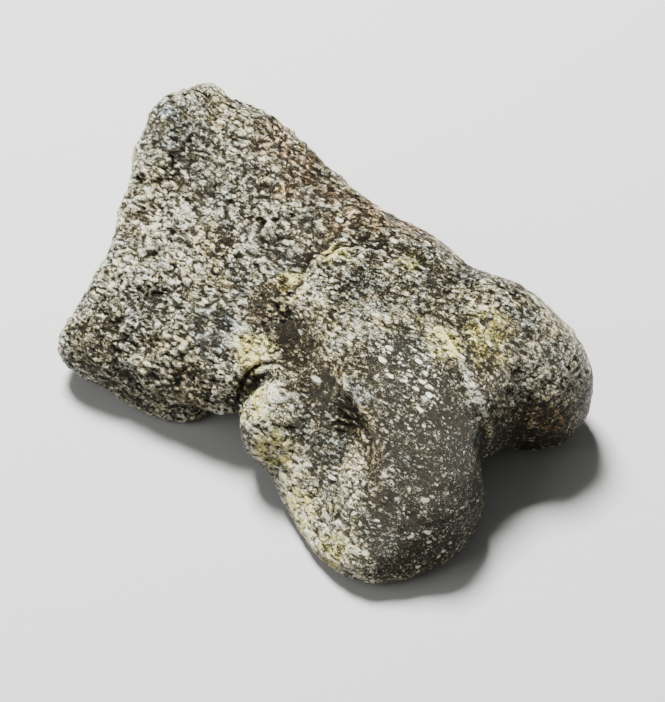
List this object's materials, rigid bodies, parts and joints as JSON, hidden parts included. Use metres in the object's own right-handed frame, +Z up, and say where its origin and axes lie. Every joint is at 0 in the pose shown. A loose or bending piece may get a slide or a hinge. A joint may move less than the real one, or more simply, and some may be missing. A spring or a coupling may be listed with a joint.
{
  "type": "fossil toe bone",
  "caption": "Fossil theropod toe bone: a sturdy phalanx with a cupped proximal joint, a waisted shaft and a distal pulley with side ligament pits.",
  "frame": {"origin": "on the floor, under the middle of the bone's box as it lies on its sole", "axes": "+X from the proximal joint to the distal pulley, +Y from the near condyle to the far one, +Z up out of the back of the toe"},
  "size_m": [0.0718, 0.0486, 0.0331],
  "materials": {
    "fossil_bone": "pitted and grainy, with a low sheen on the worn parts"
  },
  "bodies": {
    "root": {"toe_bone": "fossil_bone"}
  },
  "joints": []
}
